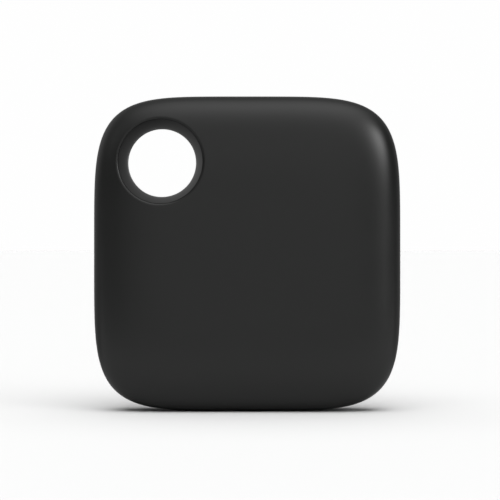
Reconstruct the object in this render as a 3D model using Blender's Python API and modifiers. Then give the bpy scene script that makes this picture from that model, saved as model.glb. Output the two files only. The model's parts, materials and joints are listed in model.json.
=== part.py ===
"""Bluetooth tracker tag: a pillow-shaped key tag with a ring hole in one corner.

Units are metres, +Z up. The tag stands on its bottom edge with its face towards -Y, and the
origin is on the ground under its middle. Inside the housing, places are given as (x, z) from
the middle of the face, and depths as y, from the face (negative) to the back (positive).
"""

import math

import bmesh
import bpy
from mathutils import Matrix

MM = 0.001

# Housing
WIDTH = 39.1 * MM
HEIGHT = 40.1 * MM
THICKNESS = 9.9 * MM
OUTLINE_POWER = 4.87
CROWN_POWER = 3.0
CROWN_FLAT = 0.4
SIDE_WALL = 1.3 * MM
FACE_WALL = 1.0 * MM
FRONT_RIM_Y = 0.10 * MM
REAR_RIM_Y = 0.45 * MM
RIM_LAP = 0.40 * MM
FRONT_LEDGE_INSET = 0.55 * MM
REAR_LEDGE_INSET = 0.40 * MM
CENTRE_Z = HEIGHT / 2

# Ring hole
HOLE_X = -10.91 * MM
HOLE_Z = 11.60 * MM
THROAT_RADIUS = 4.37 * MM
THROAT_LAND = 0.55 * MM
DISH_RADIUS = 5.42 * MM
DISH_TOP_Y = 4.3 * MM
DISH_POWER = 1.4
TUBE_RADIUS = 6.3 * MM
TONGUE_RADII = (5.6 * MM, 6.25 * MM)
TONGUE_REAR_Y = 0.9 * MM
STEP_REAR_Y = 1.4 * MM

# Motion
PRESS_TRAVEL = 0.25 * MM
GAP = 0.3 * MM
THIN_GAP = 0.15 * MM

# Lip inside the front shell, which closes the seam
RISE = (HEIGHT - WIDTH) / 2
LIP_OUTER = 17.9 * MM
LIP_INNER = 17.4 * MM

# Board and frame
BOARD_HALF_WIDTH = 16.2 * MM
BOARD_HALF_HEIGHT = BOARD_HALF_WIDTH + RISE
BOARD_FRONT_Y = -1.55 * MM
BOARD_REAR_Y = -0.75 * MM
FRAME_FRONT_Y = -0.45 * MM
FRAME_REAR_Y = 0.55 * MM
NOTCH_RADIUS = TUBE_RADIUS + 0.35 * MM
POST_RADIUS = 0.6 * MM
POST_HEAD_RADIUS = 1.1 * MM
POST_HEAD_HEIGHT = 0.45 * MM
POST_PLACES = [(-12.6, -12.8), (13.6, 8.6), (-13.8, 2.4), (2.6, 14.6)]

# Coin cell
CELL_X = 2.2 * MM
CELL_Z = -2.4 * MM
CELL_RADIUS = 10.0 * MM
CELL_FRONT_Y = 0.25 * MM
CELL_REAR_Y = 3.45 * MM
CAN_WALL = 0.28 * MM
CAP_RADIUS = 8.7 * MM
WELL_INNER = CELL_RADIUS + 0.4 * MM
WELL_OUTER = CELL_RADIUS + 1.2 * MM
WELL_REAR_Y = 3.2 * MM
SEAL_RADIUS = 12.0 * MM
SEAL_SECTION = 0.5 * MM
SEAL_Y = 2.3 * MM
RIB_INNER = 12.85 * MM
RIB_OUTER = 13.5 * MM
RIB_FRONT_Y = 1.6 * MM

# Battery contacts
SPRING_SHEET = 0.15 * MM
CONTACT_WIDTH = 2.6 * MM
SPRING_FOOT_Y = BOARD_REAR_Y + THIN_GAP + SPRING_SHEET / 2

# Switch, under the middle of the face
SWITCH_SIDE = 3.2 * MM
SWITCH_HEIGHT = 0.7 * MM
SWITCH_WELL = 1.15 * MM
PLUNGER_RADIUS = 0.6 * MM
PLUNGER_HEAD = 0.95 * MM
PAD_RADIUS = 1.6 * MM
BOSS_RADIUS = 2.2 * MM
BOSS_REAR_Y = -3.65 * MM

# Sounder
SOUNDER_X = 7.0 * MM
SOUNDER_Z = -7.2 * MM
PLATE_RADIUS = 6.75 * MM
CERAMIC_RADIUS = 4.8 * MM
RING_INNER = 5.9 * MM
PLATE_FRONT_Y = -3.10 * MM
SHEET = 0.15 * MM

# Small parts on the front of the board: name, (x, z), (width, height, thickness) in mm
PART_FRONT_Y = BOARD_FRONT_Y - 0.2 * MM
BOARD_PARTS = [
    ("radio_chip", (-9.3, -2.5), (6.0, 6.0, 0.85), "black_epoxy"),
    ("main_crystal", (-9.3, -7.8), (2.0, 1.6, 0.5), "crystal_can"),
    ("clock_crystal", (-4.2, -5.0), (1.5, 3.2, 0.8), "crystal_can"),
    ("chip_antenna", (9.2, 13.6), (7.0, 2.0, 1.1), "white_ceramic"),
    ("boost_inductor", (-5.2, -11.6), (3.0, 3.0, 1.2), "ferrite"),
    ("bulk_capacitor", (9.2, 6.0), (3.5, 2.8, 1.2), "capacitor_body"),
    ("capacitor_1", (-13.9, -3.4), (0.5, 1.0, 0.5), "capacitor_body"),
    ("capacitor_2", (-13.9, -6.0), (0.5, 1.0, 0.5), "capacitor_body"),
    ("capacitor_3", (-9.3, 2.2), (1.0, 0.5, 0.5), "capacitor_body"),
    ("capacitor_4", (-4.2, 1.6), (0.5, 1.0, 0.5), "capacitor_body"),
    ("resistor_1", (4.4, 6.2), (0.5, 1.0, 0.35), "resistor_body"),
    ("resistor_2", (4.4, 9.0), (0.5, 1.0, 0.35), "resistor_body"),
    ("resistor_3", (13.2, 3.0), (1.0, 0.5, 0.35), "resistor_body"),
]

SEGMENTS = 64
ROUND_STEPS = 48
SMALL_STEPS = 24

MATERIALS = {
    "shell_plastic": ((0.030, 0.031, 0.030), 0.55, 0.0),
    "frame_plastic": ((0.060, 0.062, 0.065), 0.50, 0.0),
    "silicone": ((0.35, 0.36, 0.37), 0.60, 0.0),
    "seal_rubber": ((0.02, 0.02, 0.02), 0.70, 0.0),
    "cell_steel": ((0.62, 0.61, 0.59), 0.28, 1.0),
    "gasket_plastic": ((0.10, 0.10, 0.10), 0.50, 0.0),
    "contact_metal": ((0.83, 0.69, 0.36), 0.28, 1.0),
    "board_laminate": ((0.015, 0.06, 0.03), 0.40, 0.0),
    "black_epoxy": ((0.02, 0.02, 0.022), 0.45, 0.0),
    "crystal_can": ((0.70, 0.69, 0.66), 0.30, 1.0),
    "white_ceramic": ((0.75, 0.74, 0.70), 0.45, 0.0),
    "ferrite": ((0.07, 0.07, 0.075), 0.60, 0.0),
    "capacitor_body": ((0.36, 0.26, 0.17), 0.45, 0.0),
    "resistor_body": ((0.05, 0.05, 0.055), 0.45, 0.0),
    "switch_plastic": ((0.55, 0.54, 0.50), 0.50, 0.0),
    "switch_metal": ((0.70, 0.69, 0.67), 0.30, 1.0),
    "sounder_brass": ((0.78, 0.57, 0.25), 0.30, 1.0),
    "piezo_ceramic": ((0.80, 0.78, 0.72), 0.50, 0.0),
    "adhesive_film": ((0.60, 0.55, 0.40), 0.60, 0.0),
}


def clear_scene():
    for old in list(bpy.data.objects):
        bpy.data.objects.remove(old, do_unlink=True)


def new_collection(name):
    collection = bpy.data.collections.new(name)
    bpy.context.scene.collection.children.link(collection)
    return collection


def make_materials():
    for name, (colour, roughness, metallic) in MATERIALS.items():
        material = bpy.data.materials.new(name)
        material.use_nodes = True
        shader = material.node_tree.nodes["Principled BSDF"]
        shader.inputs["Base Color"].default_value = (*colour, 1.0)
        shader.inputs["Roughness"].default_value = roughness
        shader.inputs["Metallic"].default_value = metallic
        material.diffuse_color = (*colour, 1.0)


def mesh_from(bm, name):
    mesh = bpy.data.meshes.new(name)
    bm.normal_update()
    bm.to_mesh(mesh)
    bm.free()
    return mesh


def add(name, mesh, material=None):
    """Put a mesh in the scene: a part when it has a material, otherwise a cutter."""
    obj = bpy.data.objects.new(name, mesh)
    if material:
        PARTS.objects.link(obj)
        mesh.materials.append(bpy.data.materials[material])
    else:
        CUTTERS.objects.link(obj)
        obj.hide_render = True
        obj.display_type = "WIRE"
    return obj


def combine(target, other, operation):
    modifier = target.modifiers.new(other.name, "BOOLEAN")
    modifier.operation = operation
    modifier.solver = "EXACT"
    modifier.object = other


def cut(target, other):
    combine(target, other, "DIFFERENCE")


def join(target, other):
    combine(target, other, "UNION")


def smooth(obj, angle=35.0):
    obj.data.shade_smooth()
    obj.data.set_sharp_from_angle(angle=math.radians(angle))


def outline_radius(angle, half_width, half_height):
    """Distance from the middle to a superellipse outline, in the direction of the angle."""
    across = abs(math.cos(angle) / half_width) ** OUTLINE_POWER
    upward = abs(math.sin(angle) / half_height) ** OUTLINE_POWER
    return (across + upward) ** (-1.0 / OUTLINE_POWER)


def pillow(name, half_width, half_height, half_thickness, material=None):
    """A superellipse pillow: flat in the middle of each side, and crowned down to its rim."""
    rings = 7
    bm = bmesh.new()
    bmesh.ops.create_uvsphere(bm, u_segments=SEGMENTS, v_segments=2 * rings, radius=1.0)
    first = math.pi / 2 / rings
    for vertex in bm.verts:
        x, y, z = vertex.co
        polar = math.acos(min(1.0, abs(z)))
        turn = max(0.0, (polar - first) / (math.pi / 2 - first)) * math.pi / 2
        spread = math.sin(turn) ** (2.0 / CROWN_POWER)
        rise = max(0.0, math.cos(turn)) ** (2.0 / CROWN_POWER)
        ring = CROWN_FLAT + (1.0 - CROWN_FLAT) * spread
        if polar < first / 2:
            ring = 0.0
        angle = math.atan2(y, x)
        radius = ring * outline_radius(angle, half_width, half_height)
        depth = -math.copysign(rise, z) * half_thickness
        if rise < 1e-6:
            depth = 0.0
        vertex.co = (radius * math.cos(angle), depth, CENTRE_Z + radius * math.sin(angle))
    obj = add(name, mesh_from(bm, name), material)
    smooth(obj)
    return obj


def plate(name, half_width, half_height, front, rear, material=None):
    """A flat plate with the tag's superellipse outline."""
    bm = bmesh.new()
    bmesh.ops.create_cone(
        bm, cap_ends=True, segments=SEGMENTS, radius1=1.0, radius2=1.0, depth=2.0
    )
    for vertex in bm.verts:
        x, y, z = vertex.co
        angle = math.atan2(y, x)
        radius = outline_radius(angle, half_width, half_height)
        depth = front if z > 0 else rear
        vertex.co = (radius * math.cos(angle), depth, CENTRE_Z + radius * math.sin(angle))
    return add(name, mesh_from(bm, name), material)


def to_face(x, z):
    """Stands a shape turned about local Z on the face axis at (x, z): local +Z is the front."""
    return Matrix.Translation((x, 0.0, CENTRE_Z + z)) @ Matrix.Rotation(math.pi / 2, 4, "X")


def cylinder(name, radius, front, rear, x, z, material=None, steps=SMALL_STEPS):
    bm = bmesh.new()
    bmesh.ops.create_cone(
        bm, cap_ends=True, segments=steps, radius1=radius, radius2=radius, depth=rear - front
    )
    obj = add(name, mesh_from(bm, name), material)
    obj.matrix_world = to_face(x, z) @ Matrix.Translation((0.0, 0.0, -(front + rear) / 2))
    smooth(obj)
    return obj


def block(name, low, high, material=None):
    """A box between two corners, each (x, y, z) with z from the middle of the face."""
    bm = bmesh.new()
    bmesh.ops.create_cube(bm, size=1.0)
    for vertex in bm.verts:
        for axis in range(3):
            share = vertex.co[axis] + 0.5
            vertex.co[axis] = low[axis] + share * (high[axis] - low[axis])
        vertex.co.z += CENTRE_Z
    return add(name, mesh_from(bm, name), material)


def turned(name, profile, x, z, material=None, closed=False, steps=ROUND_STEPS):
    """Spin a profile of (radius, y) points, listed from front to rear down its outer side."""
    bm = bmesh.new()
    points = [bm.verts.new((radius, 0.0, -y)) for radius, y in profile]
    for start, end in zip(points, points[1:]):
        bm.edges.new((start, end))
    if closed:
        bm.edges.new((points[-1], points[0]))
    obj = add(name, mesh_from(bm, name), material)
    obj.matrix_world = to_face(x, z)
    screw = obj.modifiers.new("Turn", "SCREW")
    screw.axis = "Z"
    screw.steps = steps
    screw.render_steps = steps
    screw.use_merge_vertices = True
    screw.merge_threshold = 0.01 * MM
    screw.use_smooth_shade = True
    return obj


def ring(name, inner, outer, front, rear, x, z, material=None, steps=ROUND_STEPS):
    """A flat washer."""
    profile = [(inner, front), (outer, front), (outer, rear), (inner, rear)]
    return turned(name, profile, x, z, material, closed=True, steps=steps)


def sprung_strip(name, path, pivot, z, material):
    """A bent strip of spring sheet: path and pivot are (x, y) points, and z its middle."""
    bm = bmesh.new()
    rows = []
    for x, y in path:
        low = bm.verts.new((x - pivot[0], y - pivot[1], -CONTACT_WIDTH / 2))
        high = bm.verts.new((x - pivot[0], y - pivot[1], CONTACT_WIDTH / 2))
        rows.append((low, high))
    for (low_a, high_a), (low_b, high_b) in zip(rows, rows[1:]):
        bm.faces.new((low_a, low_b, high_b, high_a))
    obj = add(name, mesh_from(bm, name), material)
    obj.location = (pivot[0], pivot[1], CENTRE_Z + z)
    sheet = obj.modifiers.new("Sheet", "SOLIDIFY")
    sheet.thickness = SPRING_SHEET
    sheet.offset = 0.0
    sheet.use_even_offset = True
    return obj


def dish_cutter(name, side):
    """The ring hole, flaring out to one side; side is -1 for the face and 1 for the back."""
    reach = THICKNESS
    sill = THROAT_LAND + (REAR_RIM_Y if side > 0 else -FRONT_RIM_Y)
    profile = [(0.0, -reach), (DISH_RADIUS, -reach)]
    for step in range(5):
        share = 1.0 - step / 4
        radius = THROAT_RADIUS + (DISH_RADIUS - THROAT_RADIUS) * share ** DISH_POWER
        profile.append((radius, -sill - (DISH_TOP_Y - sill) * share))
    profile += [(THROAT_RADIUS, reach / 2), (0.0, reach / 2)]
    if side > 0:
        profile = [(radius, -y) for radius, y in reversed(profile)]
    return turned(name, profile, HOLE_X, HOLE_Z)


def side_block(name, side, along, out, depth, length):
    """A block against one side wall: side is the wall, along its place, out and depth ranges."""
    low_out, high_out = out
    front, rear = depth
    start, end = along - length / 2, along + length / 2
    if side in ("left", "right"):
        sign = 1.0 if side == "right" else -1.0
        edges = sorted((sign * low_out, sign * high_out))
        return block(name, (edges[0], front, start), (edges[1], rear, end))
    sign = 1.0 if side == "top" else -1.0
    edges = sorted((sign * (low_out + RISE), sign * (high_out + RISE)))
    return block(name, (start, front, edges[0]), (end, rear, edges[1]))


def housing_half(name, side, rim):
    """One half of the housing, hollow, with the tube of the ring hole left standing in it.

    The two rims lap: inside its outer edge the front rim stands up and the rear rim steps back,
    so the seam can't be seen through from the side.
    """
    half = pillow(name, WIDTH / 2, HEIGHT / 2, THICKNESS / 2, "shell_plastic")
    void = pillow(
        name + "_void", WIDTH / 2 - SIDE_WALL, HEIGHT / 2 - SIDE_WALL, THICKNESS / 2 - FACE_WALL
    )
    reach = THICKNESS
    neck = TUBE_RADIUS if side < 0 else TONGUE_RADII[0] - GAP
    tube = [
        (0.0, -reach),
        (neck, -reach),
        (neck, STEP_REAR_Y),
        (TUBE_RADIUS, STEP_REAR_Y),
        (TUBE_RADIUS, reach),
        (0.0, reach),
    ]
    if side < 0:
        tube = tube[:2] + tube[4:]
    cut(void, turned(name + "_tube", tube, HOLE_X, HOLE_Z))
    across = WIDTH
    inset = FRONT_LEDGE_INSET if side < 0 else REAR_LEDGE_INSET
    lap = plate(name + "_lap", WIDTH / 2 - inset, HEIGHT / 2 - inset, -reach / 2, rim + RIM_LAP)
    if side < 0:
        other = block(name + "_other", (-across, rim, -across), (across, reach, across))
        cut(other, lap)
    else:
        other = block(name + "_other", (-across, -reach, -across), (across, rim, across))
        join(other, lap)
    return half, void, other, dish_cutter(name + "_dish", side)


def seam_lip():
    """Tongue that runs inside the seam all round, and a second one round the ring hole."""
    root_rear = FRONT_RIM_Y - GAP
    lip = plate("seam_lip", LIP_OUTER, LIP_OUTER + RISE, -1.0 * MM, TONGUE_REAR_Y)
    root = plate("lip_root", LIP_OUTER + 0.7 * MM, LIP_OUTER + 0.7 * MM + RISE,
                 -1.0 * MM, root_rear)
    join(lip, root)
    inside = plate("lip_inside", LIP_INNER, LIP_INNER + RISE, -THICKNESS, THICKNESS)
    cut(lip, inside)
    corner = cylinder("lip_corner", NOTCH_RADIUS, root_rear - 0.1 * MM, THICKNESS, HOLE_X, HOLE_Z,
                      steps=32)
    cut(lip, corner)
    return lip


def front_shell():
    """Face, side wall and front of the hole, with the press boss and five snap hooks."""
    shell, void, other, dish = housing_half("front_shell", -1, FRONT_RIM_Y)
    boss = cylinder("front_boss", BOSS_RADIUS, -4.4 * MM, BOSS_REAR_Y, 0.0, 0.0)
    cut(void, boss)
    cut(shell, void)
    cut(shell, other)
    cut(shell, dish)
    join(shell, seam_lip())
    tongue = ring("hole_tongue", *TONGUE_RADII, -0.6 * MM, TONGUE_REAR_Y, HOLE_X, HOLE_Z)
    join(shell, tongue)
    places = [("right", 7.5), ("right", -7.5), ("left", -9.0), ("bottom", -6.0), ("top", 8.0)]
    for count, (side, along) in enumerate(places, 1):
        name = "front_hook_%d" % count
        along *= MM
        length = 3.0 * MM
        out = (16.95 * MM, 18.7 * MM)
        foot = side_block(name, side, along, out, (-2.2 * MM, -1.2 * MM), length)
        out = (16.95 * MM, 17.55 * MM)
        arm = side_block(name + "_arm", side, along, out, (-2.0 * MM, 1.2 * MM), length)
        out = (15.7 * MM, 17.2 * MM)
        lip = side_block(name + "_lip", side, along, out, (0.88 * MM, 1.15 * MM), length - GAP)
        join(foot, arm)
        join(foot, lip)
        join(shell, foot)
    return shell


def rear_cover():
    """Back of the housing, with the rib that presses the seal, snap hooks and pry notch."""
    cover, void, other, dish = housing_half("rear_cover", 1, REAR_RIM_Y)
    rib = ring("rear_rib", RIB_INNER, RIB_OUTER, RIB_FRONT_Y, 4.4 * MM, CELL_X, CELL_Z)
    cut(void, rib)
    cut(cover, void)
    cut(cover, other)
    cut(cover, dish)
    for side, along in [("right", 0.0), ("left", -3.0), ("bottom", 0.0), ("top", 1.5)]:
        name = "rear_hook_" + side
        along *= MM
        length = 3.6 * MM
        out = (16.55 * MM, 18.7 * MM)
        foot = side_block(name, side, along, out, (1.45 * MM, 2.2 * MM), length)
        out = (16.55 * MM, 17.1 * MM)
        arm = side_block(name + "_arm", side, along, out, (-0.3 * MM, 2.0 * MM), length - GAP)
        join(foot, arm)
        join(cover, foot)
    bm = bmesh.new()
    bmesh.ops.create_uvsphere(bm, u_segments=20, v_segments=12, radius=2.2 * MM)
    notch = add("pry_notch", mesh_from(bm, "pry_notch"))
    notch.location = (18.05 * MM, 1.1 * MM, CENTRE_Z - 18.45 * MM)
    cut(cover, notch)
    return cover


def hole_notch(name):
    reach = THICKNESS
    return cylinder(name, NOTCH_RADIUS, -reach, reach, HOLE_X, HOLE_Z, steps=32)


def contact_slot(name):
    low = (CELL_X + 9.6 * MM, -3.0 * MM, CELL_Z - 1.75 * MM)
    high = (CELL_X + 12.9 * MM, 5.0 * MM, CELL_Z + 1.75 * MM)
    return block(name, low, high)


def inner_frame():
    """Battery tray: a plate, a round well for the cell, and posts staked over the board."""
    frame = plate(
        "inner_frame", BOARD_HALF_WIDTH, BOARD_HALF_HEIGHT, FRAME_FRONT_Y, FRAME_REAR_Y,
        "frame_plastic",
    )
    cut(frame, hole_notch("frame_notch"))
    wall = cylinder(
        "well_wall", WELL_OUTER, FRAME_FRONT_Y + 0.1 * MM, WELL_REAR_Y, CELL_X, CELL_Z,
        steps=ROUND_STEPS,
    )
    join(frame, wall)
    bore = cylinder(
        "well_bore", WELL_INNER, -THICKNESS, THICKNESS, CELL_X, CELL_Z, steps=ROUND_STEPS
    )
    cut(frame, bore)
    cut(frame, contact_slot("frame_slot"))
    for count, (x, z) in enumerate(POST_PLACES, 1):
        head_rear = BOARD_FRONT_Y - 0.2 * MM
        head_front = head_rear - POST_HEAD_HEIGHT
        profile = [
            (0.0, head_front),
            (0.7 * POST_HEAD_RADIUS, head_front),
            (POST_HEAD_RADIUS, head_front + 0.2 * MM),
            (POST_HEAD_RADIUS, head_rear),
            (POST_RADIUS, head_rear),
            (POST_RADIUS, 0.0),
            (0.0, 0.0),
        ]
        post = turned("frame_post_%d" % count, profile, x * MM, z * MM, steps=16)
        join(frame, post)
    return frame


def main_board():
    board = plate(
        "main_board", BOARD_HALF_WIDTH, BOARD_HALF_HEIGHT, BOARD_FRONT_Y, BOARD_REAR_Y,
        "board_laminate",
    )
    cut(board, hole_notch("board_notch"))
    for count, (x, z) in enumerate(POST_PLACES, 1):
        radius = POST_RADIUS + GAP
        name = "board_hole_%d" % count
        cut(board, cylinder(name, radius, -THICKNESS, THICKNESS, x * MM, z * MM, steps=16))
    return board


def cover_seal():
    bpy.ops.mesh.primitive_torus_add(
        major_radius=SEAL_RADIUS, minor_radius=SEAL_SECTION,
        major_segments=ROUND_STEPS, minor_segments=8,
    )
    made = bpy.context.object
    mesh = made.data
    mesh.name = "cover_seal"
    bpy.data.objects.remove(made, do_unlink=True)
    seal = add("cover_seal", mesh, "seal_rubber")
    seal.matrix_world = to_face(CELL_X, CELL_Z) @ Matrix.Translation((0.0, 0.0, -SEAL_Y))
    smooth(seal)
    return seal


def coin_cell():
    """Can, cap and crimp gasket of a 20 mm cell, positive side to the back."""
    inner = CELL_RADIUS - CAN_WALL
    can = [
        (0.0, CELL_REAR_Y - CAN_WALL),
        (inner, CELL_REAR_Y - CAN_WALL),
        (inner, CELL_FRONT_Y + 0.2 * MM),
        (CELL_RADIUS, CELL_FRONT_Y + 0.2 * MM),
        (CELL_RADIUS, CELL_REAR_Y - GAP),
        (CELL_RADIUS - GAP, CELL_REAR_Y),
        (0.0, CELL_REAR_Y),
    ]
    turned("cell_can", can, CELL_X, CELL_Z, "cell_steel")
    rear = CELL_REAR_Y - CAN_WALL - GAP
    cap = [
        (0.0, CELL_FRONT_Y),
        (CAP_RADIUS - GAP, CELL_FRONT_Y),
        (CAP_RADIUS, CELL_FRONT_Y + GAP),
        (CAP_RADIUS, rear),
        (0.0, rear),
    ]
    turned("cell_cap", cap, CELL_X, CELL_Z, "cell_steel")
    front = CELL_FRONT_Y + GAP
    outer = inner - GAP
    ring("cell_gasket", CAP_RADIUS + GAP, outer, front, rear, CELL_X, CELL_Z, "gasket_plastic")


def battery_contacts():
    """Two bent leaves on the back of the board, each with its origin on its hinge line."""
    foot = (CELL_X - 7.2 * MM, SPRING_FOOT_Y)
    leaf = [
        foot,
        (foot[0] + 1.2 * MM, SPRING_FOOT_Y),
        (foot[0] + 6.4 * MM, -0.12 * MM),
        (foot[0] + 7.2 * MM, -0.06 * MM),
        (foot[0] + 8.0 * MM, -0.12 * MM),
        (foot[0] + 8.6 * MM, -0.25 * MM),
    ]
    sprung_strip("negative_contact", leaf, foot, CELL_Z, "contact_metal")
    heel = (CELL_X + CELL_RADIUS + 0.75 * MM, SPRING_FOOT_Y)
    clip = [
        (heel[0] + 1.5 * MM, SPRING_FOOT_Y),
        heel,
        (heel[0] - 0.12 * MM, 0.7 * MM),
        (heel[0] - 0.32 * MM, 1.5 * MM),
        (heel[0] - 0.32 * MM, 1.9 * MM),
        (heel[0] - 0.05 * MM, 2.7 * MM),
    ]
    sprung_strip("positive_contact", clip, heel, CELL_Z, "contact_metal")


def tact_switch():
    """Base with a round well, the dome inside it and the plunger over it."""
    half = SWITCH_SIDE / 2
    front = PART_FRONT_Y - SWITCH_HEIGHT
    base = block("switch_base", (-half, front, -half), (half, PART_FRONT_Y, half),
                 "switch_plastic")
    floor = PART_FRONT_Y - 0.2 * MM
    well = cylinder("switch_well", SWITCH_WELL, front - GAP, floor, 0.0, 0.0)
    cut(base, well)
    top = floor - 0.28 * MM
    dome = [
        (0.0, top),
        (0.45 * MM, top + 0.04 * MM),
        (0.85 * MM, top + 0.15 * MM),
        (0.85 * MM, top + 0.20 * MM),
        (0.45 * MM, top + 0.12 * MM),
        (0.0, top + 0.08 * MM),
    ]
    turned("switch_dome", dome, 0.0, 0.0, "switch_metal", steps=SMALL_STEPS)
    tip = top - PRESS_TRAVEL - THIN_GAP
    head_rear = front - PRESS_TRAVEL - 0.05 * MM
    head_front = -3.05 * MM
    plunger = [
        (0.0, head_front),
        (PLUNGER_HEAD, head_front),
        (PLUNGER_HEAD, head_rear),
        (PLUNGER_RADIUS, head_rear),
        (PLUNGER_RADIUS, tip),
        (0.0, tip),
    ]
    turned("switch_plunger", plunger, 0.0, 0.0, "switch_plastic", steps=SMALL_STEPS)
    cylinder("press_pad", PAD_RADIUS, BOSS_REAR_Y + THIN_GAP, head_front - THIN_GAP, 0.0, 0.0,
             "silicone")


def sounder():
    """Piezo disc on a holder ring, ceramic side to the board, with two sprung pins."""
    x, z = SOUNDER_X, SOUNDER_Z
    plate_rear = PLATE_FRONT_Y + SHEET
    cylinder("sounder_plate", PLATE_RADIUS, PLATE_FRONT_Y, plate_rear, x, z, "sounder_brass",
             steps=ROUND_STEPS)
    front = plate_rear + THIN_GAP
    cylinder("sounder_ceramic", CERAMIC_RADIUS, front, front + SHEET, x, z, "piezo_ceramic",
             steps=ROUND_STEPS)
    glue_rear = front + 0.2 * MM
    ring("sounder_adhesive", RING_INNER, PLATE_RADIUS - 0.1 * MM, front, glue_rear, x, z,
         "adhesive_film")
    holder_front = glue_rear + THIN_GAP
    ring("sounder_holder", RING_INNER, PLATE_RADIUS + 0.15 * MM, holder_front, PART_FRONT_Y,
         x, z, "frame_plastic")
    tips = [("sounder_contact_1", 0.0, front + SHEET + THIN_GAP),
            ("sounder_contact_2", -(CERAMIC_RADIUS + RING_INNER) / 2, front)]
    for name, offset, tip in tips:
        profile = [
            (0.0, tip),
            (0.2 * MM, tip),
            (0.28 * MM, tip + 0.1 * MM),
            (0.28 * MM, -2.25 * MM),
            (0.42 * MM, -2.25 * MM),
            (0.42 * MM, PART_FRONT_Y),
            (0.0, PART_FRONT_Y),
        ]
        turned(name, profile, x + offset, z, "contact_metal", steps=16)


def board_parts():
    for name, (x, z), (width, height, thickness), material in BOARD_PARTS:
        low = ((x - width / 2) * MM, PART_FRONT_Y - thickness * MM, (z - height / 2) * MM)
        high = ((x + width / 2) * MM, PART_FRONT_Y, (z + height / 2) * MM)
        block(name, low, high, material)


clear_scene()
PARTS = new_collection("tracker_tag")
CUTTERS = new_collection("cutters")
make_materials()
front_shell()
rear_cover()
inner_frame()
main_board()
cover_seal()
coin_cell()
battery_contacts()
tact_switch()
sounder()
board_parts()
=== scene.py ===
import json
import math

import bmesh
import bpy
import numpy as np
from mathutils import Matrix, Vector

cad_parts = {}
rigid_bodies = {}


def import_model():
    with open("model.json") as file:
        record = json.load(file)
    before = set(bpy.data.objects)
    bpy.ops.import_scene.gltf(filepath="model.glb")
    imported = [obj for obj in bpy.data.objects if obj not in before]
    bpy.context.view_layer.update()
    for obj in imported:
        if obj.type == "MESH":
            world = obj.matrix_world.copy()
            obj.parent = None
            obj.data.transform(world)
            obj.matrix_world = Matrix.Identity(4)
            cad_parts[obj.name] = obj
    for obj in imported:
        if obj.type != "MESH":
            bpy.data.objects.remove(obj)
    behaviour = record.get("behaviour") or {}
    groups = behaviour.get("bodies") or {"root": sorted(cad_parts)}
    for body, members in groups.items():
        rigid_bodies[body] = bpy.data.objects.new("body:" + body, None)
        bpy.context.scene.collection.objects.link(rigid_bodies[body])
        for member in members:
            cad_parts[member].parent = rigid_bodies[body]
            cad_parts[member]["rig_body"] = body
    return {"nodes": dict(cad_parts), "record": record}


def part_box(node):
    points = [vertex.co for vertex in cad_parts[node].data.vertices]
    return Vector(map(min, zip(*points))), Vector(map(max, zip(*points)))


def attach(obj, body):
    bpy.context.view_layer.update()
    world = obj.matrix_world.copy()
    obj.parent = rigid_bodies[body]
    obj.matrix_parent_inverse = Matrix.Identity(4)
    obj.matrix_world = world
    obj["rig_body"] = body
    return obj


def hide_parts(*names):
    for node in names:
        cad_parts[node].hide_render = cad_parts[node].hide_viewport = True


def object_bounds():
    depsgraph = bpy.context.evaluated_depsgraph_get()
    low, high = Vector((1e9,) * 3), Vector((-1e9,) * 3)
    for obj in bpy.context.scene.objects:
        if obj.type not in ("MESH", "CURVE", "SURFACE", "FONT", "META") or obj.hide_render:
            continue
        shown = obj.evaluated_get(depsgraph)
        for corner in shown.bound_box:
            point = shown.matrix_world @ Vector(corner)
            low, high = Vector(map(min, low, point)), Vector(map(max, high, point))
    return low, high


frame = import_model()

CAD_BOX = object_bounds()
MM = 0.001

# The housing, read from the CAD box
LOW, HIGH = CAD_BOX
CENTRE_Z = (LOW.z + HIGH.z) / 2
HALF_W = (HIGH.x - LOW.x) / 2
HALF_H = (HIGH.z - LOW.z) / 2
HALF_T = (HIGH.y - LOW.y) / 2
RISE = HALF_H - HALF_W
OUTLINE_POWER = 4.87
CROWN_POWER = 3.0
CROWN_FLAT = 0.4
SIDE_WALL = 1.3 * MM
FACE_WALL = 1.0 * MM
EDGE = 0.12 * MM

# The ring hole and the seam, as the CAD has them
HOLE_X = -10.91 * MM
HOLE_Z = 11.60 * MM
THROAT = 4.37 * MM
THROAT_LAND = 0.55 * MM
DISH = 5.42 * MM
DISH_FILLET = 0.40 * MM
DISH_POWER = 1.4
TUBE = 6.3 * MM
REAR_NECK = 5.3 * MM
REAR_STEP = 1.4 * MM
NOTCH = 6.65 * MM
FRONT_RIM = 0.10 * MM
REAR_RIM = 0.45 * MM
RIM_LAP = 0.40 * MM
FRONT_LEDGE = 0.55 * MM
REAR_LEDGE = 0.40 * MM

# The coin cell
CELL_X = 2.2 * MM
CELL_Z = -2.4 * MM

# How finely things are drawn
TURNS = 480
SMALL_TURNS = 160
POST_TURNS = 64
SECTION_STEPS = 24
PAD_POINTS = 32
DISH_STEPS = 24
FILLET_STEPS = 10
FLAT_RINGS = 44
EDGE_RINGS = 40
INSIDE_RINGS = 12
SHARP = math.radians(40.0)
BISECTIONS = 48

# Materials: the patches that colour and roughness drift over, and which edges count as worn
DRIFT_SIZE = 4.0 * MM
WORN_FROM = 0.54
WORN_FULLY = 0.66

SLOT_OF = {part["node"]: part["material_slot"] for part in frame["record"]["subparts"]}
BODY_OF = {name: node["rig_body"] for name, node in frame["nodes"].items()}


# ---- materials ----

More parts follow.
